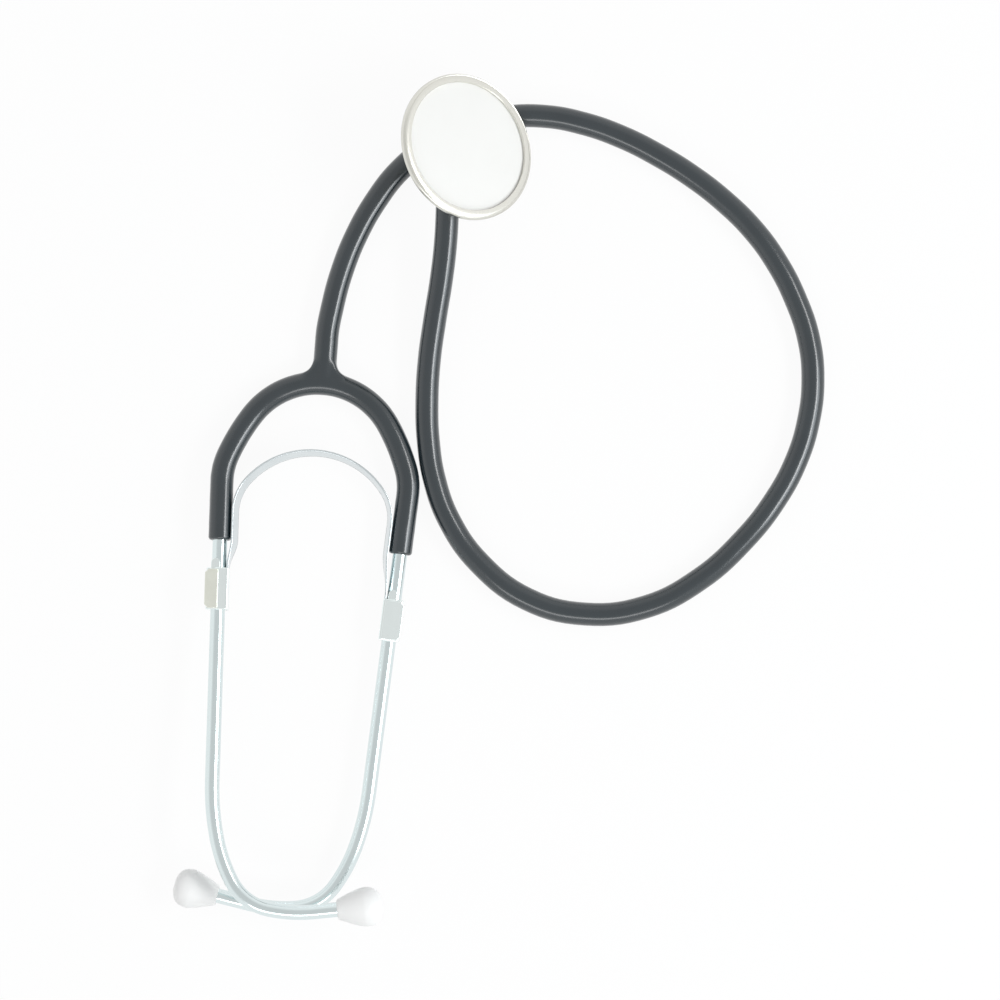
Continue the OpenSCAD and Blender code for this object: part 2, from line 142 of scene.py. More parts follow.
def copy_of(piece: bpy.types.Object, name: str) -> bpy.types.Object:
    """A copy of a piece with a mesh of its own."""
    make_active(piece)
    bpy.ops.object.duplicate()
    copy = bpy.context.object
    copy.name = name
    return copy


def join(pieces: list[bpy.types.Object], name: str) -> bpy.types.Object:
    """Join objects into the first of them and name it."""
    make_active(pieces[0])
    for piece in pieces[1:]:
        piece.select_set(True)
    bpy.ops.object.join()
    pieces[0].name = name
    return pieces[0]


def round_tube(name: str, line: list[Vector], radius: float, sides: int, dense: bool) -> bpy.types.Object:
    """A round tube as a curve with a bevel.

    Args:
        name: Name of the object.
        line: Points on the tube's middle, in metres.
        radius: The tube's radius, in metres.
        sides: Faces round the tube.
        dense: Whether the points are close enough to be joined by straight lines.

    Returns:
        The curve object.
    """
    deselect()
    bpy.ops.curve.primitive_bezier_curve_add(location=(0.0, 0.0, 0.0))
    tube = bpy.context.object
    tube.name = name
    curve = tube.data
    curve.splines.clear()
    spline = curve.splines.new("POLY" if dense else "BEZIER")
    points = spline.points if dense else spline.bezier_points
    points.add(len(line) - 1)
    for point, place in zip(points, line):
        if dense:
            point.co = (*place, 1.0)
        else:
            point.co = place
            point.handle_left_type = point.handle_right_type = "AUTO"
    curve.dimensions = "3D"
    curve.twist_mode = "Z_UP"
    curve.resolution_u = CURVE_STEPS
    curve.bevel_depth = radius
    # A bevelled curve has 4 sides, and 2 more for each step of its resolution
    curve.bevel_resolution = (sides - 4) // 2
    curve.use_fill_caps = True
    return tube


def to_mesh(piece: bpy.types.Object) -> bpy.types.Object:
    """Make a curve a mesh."""
    make_active(piece)
    bpy.ops.object.convert(target="MESH")
    return bpy.context.object


def outline_piece(name: str, outline: list[Flat], closed: bool, fill: bool) -> bpy.types.Object:
    """A ring of points in the XY plane, shaped to an outline.

    Args:
        name: Name of the object.
        outline: Points of the outline, in millimetres.
        closed: Whether the last point joins the first.
        fill: Whether the outline is filled with one face.

    Returns:
        The mesh object.
    """
    deselect()
    bpy.ops.mesh.primitive_circle_add(
        vertices=len(outline), radius=1.0, fill_type="NGON" if fill else "NOTHING"
    )
    piece = bpy.context.object
    piece.name = name
    for vertex, (across, up) in zip(piece.data.vertices, outline):
        vertex.co = (across * MM, up * MM, 0.0)
    if not closed:
        last = len(outline) - 1
        bpy.ops.object.mode_set(mode="EDIT")
        bpy.ops.mesh.select_mode(type="EDGE")
        bpy.ops.mesh.select_all(action="DESELECT")
        bpy.ops.object.mode_set(mode="OBJECT")
        for edge in piece.data.edges:
            edge.select = set(edge.vertices) == {0, last}
        bpy.ops.object.mode_set(mode="EDIT")
        bpy.ops.mesh.delete(type="EDGE")
        bpy.ops.mesh.select_mode(type="VERT")
        bpy.ops.object.mode_set(mode="OBJECT")
    return piece


def turned_piece(name: str, outline: list[Flat], closed: bool, steps: int, place: Matrix) -> bpy.types.Object:
    """A piece turned on a lathe, from an outline of radius and height.

    Args:
        name: Name of the object.
        outline: Points of radius and height, in millimetres.
        closed: Whether the outline is a loop clear of the axis.
        steps: Faces round the axis.
        place: Where the lathe's axis goes.

    Returns:
        The finished mesh object.
    """
    piece = outline_piece(name, outline, closed, fill=False)
    apply_modifier(
        piece, "SCREW", axis="Y", angle=2.0 * math.pi, steps=steps, render_steps=steps,
        use_merge_vertices=True, merge_threshold=WELD, use_smooth_shade=True,
    )
    settle(piece, place @ Matrix.Rotation(math.radians(90.0), 4, "X"))
    clean(piece)
    smooth_by_angle(piece)
    return piece


def cut_away(piece: bpy.types.Object, point: Vector, outward: Vector) -> None:
    """Cut away what lies on the outward side of a plane, and close the cut."""
    make_active(piece)
    bpy.ops.object.mode_set(mode="EDIT")
    bpy.ops.mesh.select_all(action="SELECT")
    bpy.ops.mesh.bisect(plane_co=point, plane_no=outward, use_fill=True, clear_outer=True)
    bpy.ops.object.mode_set(mode="OBJECT")


def axis_place(origin: Vector, axis: Vector) -> Matrix:
    """A place with +Z along an axis and +Y as near to up as it can be."""
    along = axis.normalized()
    across = Vector((0.0, 0.0, 1.0)).cross(along).normalized()
    up = along.cross(across)
    return Matrix.Translation(origin) @ Matrix((across, up, along)).transposed().to_4x4()


# Finishes

CLOUD_DETAIL = 4.0
GRAIN_DETAIL = 3.0
LINE_DETAIL = 2.0
NOISE_MIDDLE = 0.5
CLOUD_HEIGHT_SHARE = 0.4
LINE_STRETCH = 0.02


class Nodes:
    """A material's node tree with short ways to add and link nodes."""

    def __init__(self, tree: bpy.types.NodeTree) -> None:
        """Take the tree to fill."""
        self.tree = tree

    def add(self, kind: str, **settings: object) -> bpy.types.Node:
        """Add a node and set its properties."""
        node = self.tree.nodes.new(kind)
        for name, value in settings.items():
            setattr(node, name, value)
        return node

    def link(self, source: bpy.types.NodeSocket, target: bpy.types.NodeSocket) -> None:
        """Link two sockets."""
        self.tree.links.new(source, target)

    def math(self, operation: str, first: object, second: object) -> bpy.types.NodeSocket:
        """A Math node of two values, each a socket or a number.

        Args:
            operation: Blender's name of the operation.
            first: The first value.
            second: The second value.

        Returns:
            The result's socket.
        """
        node = self.add("ShaderNodeMath", operation=operation)
        for socket, value in zip(node.inputs, (first, second)):
            if isinstance(value, bpy.types.NodeSocket):
                self.link(value, socket)
            else:
                socket.default_value = value
        return node.outputs[0]

    def noise(self, vector: bpy.types.NodeSocket, scale: object, detail: float) -> bpy.types.NodeSocket:
        """A Noise Texture's value on a vector, at a scale that is a socket or a number."""
        node = self.add("ShaderNodeTexNoise")
        node.inputs["Detail"].default_value = detail
        self.link(vector, node.inputs["Vector"])
        if isinstance(scale, bpy.types.NodeSocket):
            self.link(scale, node.inputs["Scale"])
        else:
            node.inputs["Scale"].default_value = scale
        return node.outputs["Fac"]


def new_group(name: str, inputs: list[tuple[str, str, object]], outputs: list[tuple[str, str]]) -> Nodes:
    """Start a shader node group with its named sockets.

    Args:
        name: Name of the group.
        inputs: Name, socket type and default value of each input.
        outputs: Name and socket type of each output.

    Returns:
        The group's nodes, still empty.
    """
    tree = bpy.data.node_groups.new(name, "ShaderNodeTree")
    for label, kind, value in inputs:
        socket = tree.interface.new_socket(label, in_out="INPUT", socket_type=kind)
        if value is not None:
            socket.default_value = value
    for label, kind in outputs:
        tree.interface.new_socket(label, in_out="OUTPUT", socket_type=kind)
    return Nodes(tree)


def mottle_group() -> bpy.types.NodeTree:
    """Cloudy colour and gloss with a fine grain, as on moulded and plated surfaces.

    Returns:
        The node group.
    """
    nodes = new_group(
        "mottle",
        [
            ("Vector", "NodeSocketVector", None),
            ("Colour", "NodeSocketColor", (0.5, 0.5, 0.5, 1.0)),
            ("Other Colour", "NodeSocketColor", (0.4, 0.4, 0.4, 1.0)),
            ("Cloud Scale", "NodeSocketFloat", 120.0),
            ("Grain Scale", "NodeSocketFloat", 2000.0),
            ("Roughness", "NodeSocketFloat", 0.3),
            ("Roughness Spread", "NodeSocketFloat", 0.1),
        ],
        [("Colour", "NodeSocketColor"), ("Roughness", "NodeSocketFloat"), ("Height", "NodeSocketFloat")],
    )
    into = nodes.add("NodeGroupInput")
    out = nodes.add("NodeGroupOutput")
    cloud = nodes.noise(into.outputs["Vector"], into.outputs["Cloud Scale"], CLOUD_DETAIL)
    grain = nodes.noise(into.outputs["Vector"], into.outputs["Grain Scale"], GRAIN_DETAIL)
    mix = nodes.add("ShaderNodeMix", data_type="RGBA")
    nodes.link(cloud, mix.inputs["Factor"])
    nodes.link(into.outputs["Colour"], mix.inputs["A"])
    nodes.link(into.outputs["Other Colour"], mix.inputs["B"])
    nodes.link(mix.outputs["Result"], out.inputs["Colour"])
    off_middle = nodes.math("SUBTRACT", cloud, NOISE_MIDDLE)
    swing = nodes.math("MULTIPLY", off_middle, into.outputs["Roughness Spread"])
    nodes.link(nodes.math("ADD", into.outputs["Roughness"], swing), out.inputs["Roughness"])
    low_relief = nodes.math("MULTIPLY", cloud, CLOUD_HEIGHT_SHARE)
    nodes.link(nodes.math("ADD", low_relief, grain), out.inputs["Height"])
    return nodes.tree


def drawn_lines_group() -> bpy.types.NodeTree:
    """Fine lines along one direction, as on drawn and rolled metal.

    Returns:
        The node group, which gives the lines as a mask around one half.
    """
    nodes = new_group(
        "drawn_lines",
        [("Vector", "NodeSocketVector", None), ("Scale", "NodeSocketFloat", 900.0)],
        [("Lines", "NodeSocketFloat")],
    )
    into = nodes.add("NodeGroupInput")
    out = nodes.add("NodeGroupOutput")
    stretch = nodes.add("ShaderNodeMapping")
    stretch.inputs["Scale"].default_value = (1.0, LINE_STRETCH, 1.0)
    nodes.link(into.outputs["Vector"], stretch.inputs["Vector"])
    lines = nodes.noise(stretch.outputs["Vector"], into.outputs["Scale"], LINE_DETAIL)
    nodes.link(lines, out.inputs["Lines"])
    return nodes.tree


@dataclass(frozen=True)
class Finish:
    """One finish: its colours, its gloss, and the size and depth of its grain."""

    name: str
    colour: Colour
    other: Colour
    roughness: float
    spread: float
    metallic: float = 0.0
    specular: float = 0.5
    coat: float = 0.0
    coat_roughness: float = 0.12
    cloud_scale: float = 120.0
    grain_scale: float = 2500.0
    bump: float = 0.05
    relief: float = 0.1
    lines: float = 0.0
    lines_turn: float = 0.0

    def material(self) -> bpy.types.Material:
        """Build the finish as a material of nodes.

        Returns:
            The material.
        """
        made = bpy.data.materials.new(self.name)
        made.use_nodes = True
        nodes = Nodes(made.node_tree)
        shader = made.node_tree.nodes["Principled BSDF"]
        shader.inputs["Metallic"].default_value = self.metallic
        shader.inputs["Specular IOR Level"].default_value = self.specular
        shader.inputs["Coat Weight"].default_value = self.coat
        shader.inputs["Coat Roughness"].default_value = self.coat_roughness
        place = nodes.add("ShaderNodeTexCoord").outputs["Object"]
        mottle = nodes.add("ShaderNodeGroup", node_tree=bpy.data.node_groups["mottle"])
        nodes.link(place, mottle.inputs["Vector"])
        mottle.inputs["Colour"].default_value = (*self.colour, 1.0)
        mottle.inputs["Other Colour"].default_value = (*self.other, 1.0)
        mottle.inputs["Cloud Scale"].default_value = self.cloud_scale
        mottle.inputs["Grain Scale"].default_value = self.grain_scale
        mottle.inputs["Roughness"].default_value = self.roughness
        mottle.inputs["Roughness Spread"].default_value = self.spread
        nodes.link(mottle.outputs["Colour"], shader.inputs["Base Color"])
        rough = mottle.outputs["Roughness"]
        height = mottle.outputs["Height"]
        if self.lines > 0.0:
            turn = nodes.add("ShaderNodeMapping")
            turn.inputs["Rotation"].default_value = (0.0, 0.0, math.radians(self.lines_turn))
            nodes.link(place, turn.inputs["Vector"])
            drawn = nodes.add("ShaderNodeGroup", node_tree=bpy.data.node_groups["drawn_lines"])
            nodes.link(turn.outputs["Vector"], drawn.inputs["Vector"])
            off_middle = nodes.math("SUBTRACT", drawn.outputs["Lines"], NOISE_MIDDLE)
            swing = nodes.math("MULTIPLY", off_middle, self.lines)
            rough = nodes.math("ADD", rough, swing)
            height = nodes.math("ADD", height, drawn.outputs["Lines"])
        nodes.link(rough, shader.inputs["Roughness"])
        bump = nodes.add("ShaderNodeBump")
        bump.inputs["Strength"].default_value = self.bump
        bump.inputs["Distance"].default_value = self.relief * MM
        nodes.link(height, bump.inputs["Height"])
        nodes.link(bump.outputs["Normal"], shader.inputs["Normal"])
        return made


class Finishes:
    """Every finish of the object, built once."""

    def __init__(self) -> None:
        """Build the shared groups and the materials."""
        mottle_group()
        drawn_lines_group()
        self.hose = Finish(
            "hose_rubber_gloss", (0.008, 0.016, 0.021), (0.015, 0.025, 0.031), 0.25, 0.10,
            specular=0.65, coat=0.6, cloud_scale=90.0, grain_scale=1600.0, bump=0.05,
        ).material()
        self.tube = Finish(
            "tube_bright_plate", (0.76, 0.84, 0.84), (0.70, 0.78, 0.79), 0.15, 0.06,
            metallic=1.0, cloud_scale=70.0, grain_scale=1500.0, bump=0.006, lines=0.06,
        ).material()
        self.spring = Finish(
            "spring_bright_strip", (0.72, 0.77, 0.78), (0.62, 0.67, 0.69), 0.16, 0.10,
            metallic=1.0, cloud_scale=110.0, bump=0.01, lines=0.12, lines_turn=90.0,
        ).material()
        self.clip = Finish(
            "clip_bright_sheet", (0.92, 0.98, 0.97), (0.86, 0.93, 0.92), 0.13, 0.06,
            metallic=1.0, cloud_scale=180.0, bump=0.012, lines=0.05,
        ).material()
        # Left clip's flap: the same bright sheet as the clip, in a darker, warmer colour that is painted
        # shade and a painted warm reflection of its shaded outer wall; only the rougher gloss is its own
        self.flap = Finish(
            "clip_flap_painted_shade", (0.76, 0.77, 0.68), (0.88, 0.90, 0.82), 0.36, 0.16,
            metallic=0.9, cloud_scale=240.0, bump=0.02,
        ).material()
        self.tip = Finish(
            "tip_soft_white", (0.95, 0.945, 0.93), (0.93, 0.925, 0.91), 0.46, 0.1,
            cloud_scale=160.0, grain_scale=3000.0, bump=0.05,
        ).material()
        self.ring = Finish(
            "ring_warm_satin", (0.75, 0.745, 0.69), (0.69, 0.68, 0.63), 0.25, 0.12,
            metallic=0.95, cloud_scale=90.0, grain_scale=2600.0, bump=0.03,
        ).material()
        self.head = Finish(
            "head_satin_cast", (0.62, 0.62, 0.58), (0.54, 0.54, 0.51), 0.36, 0.16,
            metallic=0.9, cloud_scale=120.0, grain_scale=1400.0, bump=0.12,
        ).material()
        self.diaphragm = Finish(
            "diaphragm_white_sheet", (0.945, 0.935, 0.905), (0.915, 0.905, 0.87), 0.34, 0.08,
            cloud_scale=60.0, grain_scale=3200.0, bump=0.03,
        ).material()


def dress(piece: bpy.types.Object, finish: bpy.types.Material) -> None:
    """Give a new piece its material."""
    piece.data.materials.clear()
    piece.data.materials.append(finish)


# The object's sub-assemblies


@dataclass(frozen=True)
class Lie:
    """Where the binaural lies: the top of its yoke, and the pitch of each half."""

    yoke_top: Place = (-12.3, 33.9, 3.6)
    left_pitch: float = 5.416784
    right_pitch: float = 0.865428

    def pitch(self, side: Side) -> float:
        """Pitch of one half, in degrees."""
        return self.left_pitch if side is Side.LEFT else self.right_pitch

    def pitch_across(self, x: float, reach: float) -> float:
        """Pitch at a distance across the yoke, eased from the left half's to the right half's."""
        return self.left_pitch + (self.right_pitch - self.left_pitch) * ease((x + reach) / (2.0 * reach))

    def place(self, x: float, y: float, z: float, pitch: float) -> Vector:
        """A point of the flat binaural, pitched up and set on the table, in metres."""
        turn = math.radians(pitch)
        level = y * math.cos(turn) + z * math.sin(turn)
        high = z * math.cos(turn) - y * math.sin(turn)
        return (Vector(self.yoke_top) + Vector((x, level, high))) * MM

    def direction(self, x: float, y: float, pitch: float) -> Vector:
        """A direction in the flat binaural, pitched up."""
        turn = math.radians(pitch)
        return Vector((x, y * math.cos(turn), -y * math.sin(turn)))


@dataclass
class Yoke:
    """The rubber yoke: a junction and two arms, moulded as one and parted where the arms start to bend."""

    lie: Lie
    tube_r: float = 3.6
    bends: tuple[Flat, ...] = ((25.0, 57.0), (64.0, 13.2), (20.0, 22.8))
    lean: float = 3.0
    socket: float = 18.4
    stem: float = 14.0
    junction_angle: float = 20.0
    fillet_r: float = 4.2
    web: float = 6.2
    grip_r: float = 2.35
    mouth_depth: float = 6.0
    end_rounding: tuple[Flat, ...] = ((0.15, 0.35), (0.25, 0.25), (0.35, 0.1))
    end_tolerance: float = 0.05
    end_facing: float = 0.9
    spare: float = 2.0
    web_sink: float = 1.0
    fillet_steps: int = 8
    line_step: float = 1.5
    least_steps: int = 4
    sides: int = 32
    grid: float = 0.36
    softening: int = 60
    softening_pull: float = 0.5
    softening_loss: float = 0.1
    crisp_angle: float = 50.0

    def half_line(self) -> list[Flat]:
        """Points down one half's middle line, from the top of the arch to the socket's start."""
        line = [(0.0, 0.0)]
        heading = -90.0
        for radius, angle in self.bends:
            start = line[-1]
            first = math.radians(heading)
            count = max(self.least_steps, round(radius * math.radians(angle) / self.line_step))
            for index in range(1, count + 1):
                turn = math.radians(heading + angle * index / count)
                out = radius * (math.cos(turn) - math.cos(first))
                down = radius * (math.sin(turn) - math.sin(first))
                line.append((start[0] + out, start[1] - down))
            heading += angle
        return line

    def socket_start(self) -> Flat:
        """Where the straight socket starts, flat."""
        return self.half_line()[-1]

    def down(self) -> Flat:
        """Direction of the socket and the ear tube, flat."""
        lean = math.radians(self.lean)
        return (-math.sin(lean), -math.cos(lean))

    def socket_end(self, side: Side, extra: float = 0.0) -> Vector:
        """Middle of the arm's open end, or a point past it, in metres."""
        start, down = self.socket_start(), self.down()
        along = self.socket + extra
        return self.lie.place(
            side.value * (start[0] + along * down[0]), start[1] + along * down[1], 0.0, self.lie.pitch(side)
        )

    def end_out(self, side: Side) -> Vector:
        """Direction out of the arm's open end."""
        down = self.down()
        return self.lie.direction(side.value * down[0], down[1], self.lie.pitch(side))

    def cut_end(self, side: Side) -> Vector:
        """Where the arm is cut, short of its end by what the rounding adds."""
        return self.socket_end(side, -sum(rise for _, rise in self.end_rounding))

    def junction_reach(self) -> float:
        """Half of the junction's width."""
        return self.bends[0][0] * math.sin(math.radians(self.junction_angle))

    def parting(self, side: Side) -> tuple[Vector, Vector]:
        """Where an arm meets the junction, and the direction out of the junction."""
        turn = math.radians(self.junction_angle)
        radius = self.bends[0][0]
        pitch = self.lie.pitch(side)
        across, drop = radius * math.sin(turn), radius * (1.0 - math.cos(turn))
        point = self.lie.place(side.value * across, -drop, 0.0, pitch)
        return point, self.lie.direction(side.value * math.cos(turn), -math.sin(turn), pitch)

    def arch_line(self) -> list[Vector]:
        """The whole arch's middle line, from the left arm's end to the right arm's end."""
        reach = self.junction_reach()
        right = [self.lie.place(x, y, 0.0, self.lie.pitch_across(x, reach)) for x, y in self.half_line()]
        left = [self.lie.place(-x, y, 0.0, self.lie.pitch_across(-x, reach)) for x, y in self.half_line()[1:]]
        left_end = self.socket_end(Side.LEFT, self.spare)
        return [left_end] + left[::-1] + right + [self.socket_end(Side.RIGHT, self.spare)]

    def web_piece(self) -> bpy.types.Object:
        """The web that fills both fillets between the stem and the arch."""
        reach = self.tube_r + self.fillet_r
        radius = self.bends[0][0]
        centre_up = math.sqrt((radius + reach) ** 2 - reach ** 2)
        foot = math.atan2(-centre_up, -reach)
        sweep = foot % (2.0 * math.pi) - math.pi
        half: list[Flat] = []
        for index in range(self.fillet_steps + 1):
            turn = math.pi + sweep * index / self.fillet_steps
            across = reach + self.fillet_r * math.cos(turn)
            half.append((across, centre_up - radius + self.fillet_r * math.sin(turn)))
        outline = half + [(0.0, -self.web_sink)] + [(-x, y) for x, y in reversed(half)]
        web = outline_piece("yoke_web", outline, closed=True, fill=True)
        apply_modifier(web, "SOLIDIFY", thickness=self.web * MM, offset=0.0)
        settle(web, Matrix.Translation(Vector(self.lie.yoke_top) * MM))
        return web

    def open_mouth(self, arm: bpy.types.Object, side: Side) -> None:
        """Round the arm's end and sink the socket's mouth into it."""
        outward = self.end_out(side).normalized()
        end = self.cut_end(side)
        make_active(arm)
        bpy.ops.object.mode_set(mode="EDIT")
        bpy.ops.mesh.select_mode(type="FACE")
        bpy.ops.mesh.select_all(action="DESELECT")
        bpy.ops.object.mode_set(mode="OBJECT")
        for face in arm.data.polygons:
            near = abs((face.center - end).dot(outward)) < self.end_tolerance * MM
            face.select = near and face.normal.dot(outward) > self.end_facing
        bpy.ops.object.mode_set(mode="EDIT")
        rounded = 0.0
        for inset, rise in self.end_rounding:
            bpy.ops.mesh.inset(thickness=inset * MM)
            bpy.ops.transform.translate(value=outward * rise * MM)
            rounded += inset
        bpy.ops.mesh.inset(thickness=(self.tube_r - self.grip_r - rounded) * MM)
        bpy.ops.mesh.extrude_region_move(TRANSFORM_OT_translate={"value": -outward * self.mouth_depth * MM})
        bpy.ops.mesh.select_mode(type="VERT")
        bpy.ops.object.mode_set(mode="OBJECT")

    def whole(self) -> bpy.types.Object:
        """The arch, the stem and their web, grown into one soft moulding.

        Returns:
            The moulding, a little longer than the yoke at its three ends.
        """
        top = Vector(self.lie.yoke_top)
        raw_r = (self.tube_r + self.softening_loss) * MM
        stem_points = (0.0, self.stem / 2.0, self.stem + self.spare)
        stem_line = [(top + Vector((0.0, y, 0.0))) * MM for y in stem_points]
        arch = to_mesh(round_tube("yoke_arch", self.arch_line(), raw_r, self.sides, dense=True))
        stem = to_mesh(round_tube("yoke_stem", stem_line, raw_r, self.sides, dense=True))
        whole = join([arch, stem, self.web_piece()], "yoke_whole")
        apply_modifier(whole, "REMESH", mode="VOXEL", voxel_size=self.grid * MM, use_smooth_shade=True)
        apply_modifier(whole, "SMOOTH", factor=self.softening_pull, iterations=self.softening)
        return whole

    def junction(self, whole: bpy.types.Object, finish: bpy.types.Material) -> None:
        """Cut the junction out of the moulding and hand it to its body.

        Args:
            whole: The whole moulding.
            finish: The rubber's material.
        """
        junction = copy_of(whole, "yoke_junction")
        stem_end = (Vector(self.lie.yoke_top) + Vector((0.0, self.stem, 0.0))) * MM
        cut_away(junction, stem_end, Vector((0.0, 1.0, 0.0)))
        for side in Side:
            cut_away(junction, *self.parting(side))
        smooth_by_angle(junction, self.crisp_angle)
        dress(junction, finish)
        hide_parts("y_junction")
        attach(junction, "tubing")
        LOG.info("%s built", junction.name)

    def arm(self, whole: bpy.types.Object, side: Side, finish: bpy.types.Material) -> None:
        """Cut one arm out of the moulding and open its end.

        Args:
            whole: The whole moulding.
            side: Which arm.
            finish: The rubber's material.
        """
        arm = copy_of(whole, f"yoke_{side.word}_arm")
        point, outward = self.parting(side)
        cut_away(arm, point, -outward)
        cut_away(arm, self.cut_end(side), self.end_out(side))
        self.open_mouth(arm, side)
        smooth_by_angle(arm, self.crisp_angle)
        dress(arm, finish)
        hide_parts(f"{side.word}_arm")
        start = self.socket_start()
        bend_end = self.lie.place(side.value * start[0], start[1], 0.0, self.lie.pitch(side))
        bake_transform(arm)
        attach(arm, "tubing")
        LOG.info("%s built", arm.name)

    def build(self, finish: bpy.types.Material) -> None:
        """Build the junction and both arms.

        Args:
            finish: The rubber's material.
        """
        whole = self.whole()
        self.junction(whole, finish)
        for side in Side:
            self.arm(whole, side, finish)
        bpy.data.objects.remove(whole)


@dataclass
class LeafSpring:
    """The bright steel strip between the ear tubes, with the folded clip at each end."""

    lie: Lie
    yoke: Yoke
    strip_w: float = 6.0
    strip_t: float = 0.6
    cant: float = 13.0
    crown_r: float = 26.0
    shoulder_r: float = 15.0
    shoulder_drop: float = 8.6
    arm_gap: float = 0.4
    ear_tube_r: float = 2.25
    seat_gap: float = 0.15
    clip_len: float = 13.0
    clip_wall: float = 0.45
    left_fold_reach: float = 1.5
    right_fold_reach: float = 0.8
    strip_cover: float = 0.2
    fold_h: float = 4.2
    left_gap: float = 8.6
    right_gap: float = 14.0
    arch_reach_share: float = 0.95
    flap_rise: float = 0.35
    flap_t: float = 0.5
    flap_inset: float = 0.5
    flap_corner: float = 1.1
    left_flap_from: float = 0.0
    right_flap_from: float = -2.5
    tongue_w: float = 2.8
    tongue_out: float = 2.9
    tongue_in: float = 1.2
    tongue_t: float = 0.55
    left_tongue_at: float = 0.9
    right_tongue_at: float = -0.5
    tongue_sink: float = 0.1
    edge_round: float = 0.16
    fold_round: float = 0.45
    flap_round: float = 0.22
    tongue_round: float = 0.18
    strip_edge_angle: float = 50.0
    strip_crisp_angle: float = 60.0
    fold_angle: float = 20.0
    clip_crisp_angle: float = 40.0
    crown_steps: int = 16
    shoulder_steps: int = 14
    leg_steps: int = 16
    clip_steps: int = 3
    tongue_steps: int = 12
    across: int = 4
    edge_steps: int = 2
    fold_steps: int = 4

    @property
    def clip_offset(self) -> float:
        """Distance of the strip's middle from the ear tube's axis, in the clip."""
        return self.ear_tube_r + self.strip_t / 2.0 + self.seat_gap

    @property
    def arm_offset(self) -> float:
        """Distance of the strip's middle from the ear tube's axis, beside the arm."""
        return (self.yoke.tube_r + self.strip_t / 2.0 + self.arm_gap) / math.cos(math.radians(self.cant))

    def clip_start(self, side: Side) -> float:
        """Distance of a clip down the tube's line from the start of the socket."""
        return self.yoke.socket + (self.left_gap if side is Side.LEFT else self.right_gap)

    def on_leg(self, along: float, side: Side) -> Station:
        """A station beside the ear tube: its middle, its outward direction and its cant."""
        start, down = self.yoke.socket_start(), self.yoke.down()
        out = (-down[1], down[0])
        swing = ease((self.clip_start(side) - along) / (self.clip_start(side) - self.yoke.socket))
        offset = self.clip_offset + (self.arm_offset - self.clip_offset) * swing
        middle = (start[0] + along * down[0] - offset * out[0], start[1] + along * down[1] - offset * out[1])
        return middle, out, self.cant * swing

    def on_arc(self, centre: Flat, radius: float, degrees: float) -> Station:
        """A station on the shoulder or the crown."""
        out = (math.cos(math.radians(degrees)), math.sin(math.radians(degrees)))
        return (centre[0] + radius * out[0], centre[1] + radius * out[1]), out, self.cant

    @property
    def shoulder_x(self) -> float:
        """Distance of the shoulder's centre from the middle line."""
        lean = math.radians(self.yoke.lean)
        inset = self.shoulder_r + self.arm_offset + self.shoulder_drop * math.sin(lean)
        return self.yoke.socket_start()[0] - inset / math.cos(lean)

    def stations(self, side: Side) -> list[Station]:
        """One half's stations, drawn as on the right, from the crown's middle down into the clip."""
        lean = math.radians(self.yoke.lean)
        start = self.yoke.socket_start()
        shoulder_x = self.shoulder_x
        shoulder = (shoulder_x, start[1] - self.shoulder_drop)
        crown_angle = math.degrees(math.asin(shoulder_x / (self.crown_r - self.shoulder_r)))
        crown = (0.0, shoulder[1] - (self.crown_r - self.shoulder_r) * math.cos(math.radians(crown_angle)))
        leg_top = self.shoulder_drop * math.cos(lean) + (start[0] - shoulder_x) * math.sin(lean)
        clip = self.clip_start(side)
        turned = 90.0 - crown_angle
        shoulder_turn = turned + self.yoke.lean
        line: list[Station] = []
        for i in range(self.crown_steps):
            line.append(self.on_arc(crown, self.crown_r, 90.0 - crown_angle * i / self.crown_steps))
        for i in range(self.shoulder_steps):
            degrees = turned - shoulder_turn * i / self.shoulder_steps
            line.append(self.on_arc(shoulder, self.shoulder_r, degrees))
        for i in range(self.leg_steps + 1):
            line.append(self.on_leg(leg_top + (clip - leg_top) * i / self.leg_steps, side))
        for i in range(1, self.clip_steps + 1):
            line.append(self.on_leg(clip + self.clip_len * i / self.clip_steps, side))
        return line

    def strip_point(self, station: Station, side: Side, share: float) -> Vector:
        """A point across the strip at a station, from its lower edge to its upper one."""
        middle, out, cant = station
        turn = math.radians(cant)
        reach = self.arch_reach_share * (self.shoulder_x + self.shoulder_r)
        offset = (share - 0.5) * self.strip_w
        x = side.value * (middle[0] + offset * math.sin(turn) * out[0])
        y = middle[1] + offset * math.sin(turn) * out[1]
        pitch = self.lie.pitch_across(side.value * middle[0], reach)
        return self.lie.place(x, y, offset * math.cos(turn), pitch)

    def whole_strip(self) -> bpy.types.Object:
        """The whole strip, from the left clip over the crown to the right clip.

        Returns:
            The strip as one mesh.
        """
        line = [(station, Side.LEFT) for station in reversed(self.stations(Side.LEFT))]
        line += [(station, Side.RIGHT) for station in self.stations(Side.RIGHT)[1:]]
        deselect()
        bpy.ops.mesh.primitive_grid_add(x_subdivisions=len(line) - 1, y_subdivisions=self.across, size=1.0)
        strip = bpy.context.object
        strip.name = "spring_whole"
        columns = sorted({round(v.co.x, GRID_DIGITS) for v in strip.data.vertices})
        rows = sorted({round(v.co.y, GRID_DIGITS) for v in strip.data.vertices})
        for vertex in strip.data.vertices:
            station, side = line[columns.index(round(vertex.co.x, GRID_DIGITS))]
            share = rows.index(round(vertex.co.y, GRID_DIGITS)) / (len(rows) - 1)
            vertex.co = self.strip_point(station, side, share)
        apply_modifier(strip, "SOLIDIFY", thickness=self.strip_t * MM, offset=0.0, use_even_offset=True)
        clean(strip)
        apply_modifier(
            strip, "BEVEL", width=self.edge_round * MM, segments=self.edge_steps, limit_method="ANGLE",
            angle_limit=math.radians(self.strip_edge_angle),
        )
        return strip

